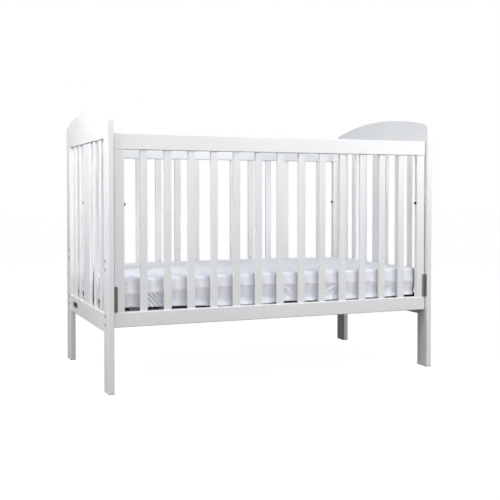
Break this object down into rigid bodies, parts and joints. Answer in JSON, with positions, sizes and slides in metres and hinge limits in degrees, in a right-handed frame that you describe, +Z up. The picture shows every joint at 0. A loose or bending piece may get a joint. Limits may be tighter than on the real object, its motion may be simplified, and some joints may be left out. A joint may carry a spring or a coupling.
{
  "type": "baby crib",
  "caption": "White wooden baby crib with arched ends, slatted sides, a front side that slides down, and a mattress on a slatted base.",
  "frame": {"origin": "on the floor under the middle of the crib", "axes": "+X along the crib's length to its right end seen from the front, +Y from the front (drop side) to the rear, +Z up"},
  "size_m": [1.35, 0.776, 1.0359],
  "materials": {
    "white_paint": "satin white paint over sanded wood",
    "bare_wood": "planed pine, unpainted",
    "stained_wood": "planed wood with a near-black stain",
    "bolt_steel": "blackened steel",
    "nut_steel": "zinc plated",
    "insert_brass": "machined",
    "nylon": "natural nylon",
    "guide_steel": "grey painted sheet steel",
    "badge": "blank dark plate",
    "sheet_cotton": "white cotton fitted sheet over foam"
  },
  "bodies": {
    "crib_frame": {"left_front_post": "white_paint", "left_rear_post": "white_paint", "right_front_post": "white_paint", "right_rear_post": "white_paint", "left_arch_board": "white_paint", "right_arch_board": "white_paint", "left_end_rail": "white_paint", "right_end_rail": "white_paint", "end_centre_slats": "white_paint", "left_end_slats": "white_paint", "right_end_slats": "white_paint", "rear_top_rail": "white_paint", "rear_bottom_rail": "white_paint", "rear_left_stile": "white_paint", "rear_right_stile": "white_paint", "rear_slat_01": "white_paint", "rear_slat_02": "white_paint", "rear_slat_03": "white_paint", "rear_slat_04": "white_paint", "rear_slat_05": "white_paint", "rear_slat_06": "white_paint", "rear_slat_07": "white_paint", "rear_slat_08": "white_paint", "rear_slat_09": "white_paint", "rear_slat_10": "white_paint", "rear_slat_11": "white_paint", "rear_slat_12": "white_paint", "rear_slat_13": "white_paint", "arch_dowels": "bare_wood", "base_front_rail": "white_paint", "base_rear_rail": "white_paint", "base_inner_rails": "white_paint", "base_slats": "stained_wood", "base_bolts": "bolt_steel", "base_barrel_nuts": "nut_steel", "rear_side_bolts": "bolt_steel", "rear_side_inserts": "insert_brass", "side_guides": "guide_steel", "guide_screws": "nut_steel", "badge_plate": "badge"},
    "drop_side": {"front_top_rail": "white_paint", "front_bottom_rail": "white_paint", "front_left_stile": "white_paint", "front_right_stile": "white_paint", "front_slat_01": "white_paint", "front_slat_02": "white_paint", "front_slat_03": "white_paint", "front_slat_04": "white_paint", "front_slat_05": "white_paint", "front_slat_06": "white_paint", "front_slat_07": "white_paint", "front_slat_08": "white_paint", "front_slat_09": "white_paint", "front_slat_10": "white_paint", "front_slat_11": "white_paint", "front_slat_12": "white_paint", "front_slat_13": "white_paint", "guide_pins": "bolt_steel", "guide_bushes": "nylon"},
    "mattress": {"mattress": "sheet_cotton"}
  },
  "joints": [
    {"name": "drop_side_slide", "type": "slide", "parent": "crib_frame", "child": "drop_side", "axis": [0, 0, -1], "range_m": [0, 0.18]},
    {"name": "mattress_lift", "type": "slide", "parent": "crib_frame", "child": "mattress", "axis": [0, 0, 1], "range_m": [0, 0.65]}
  ]
}
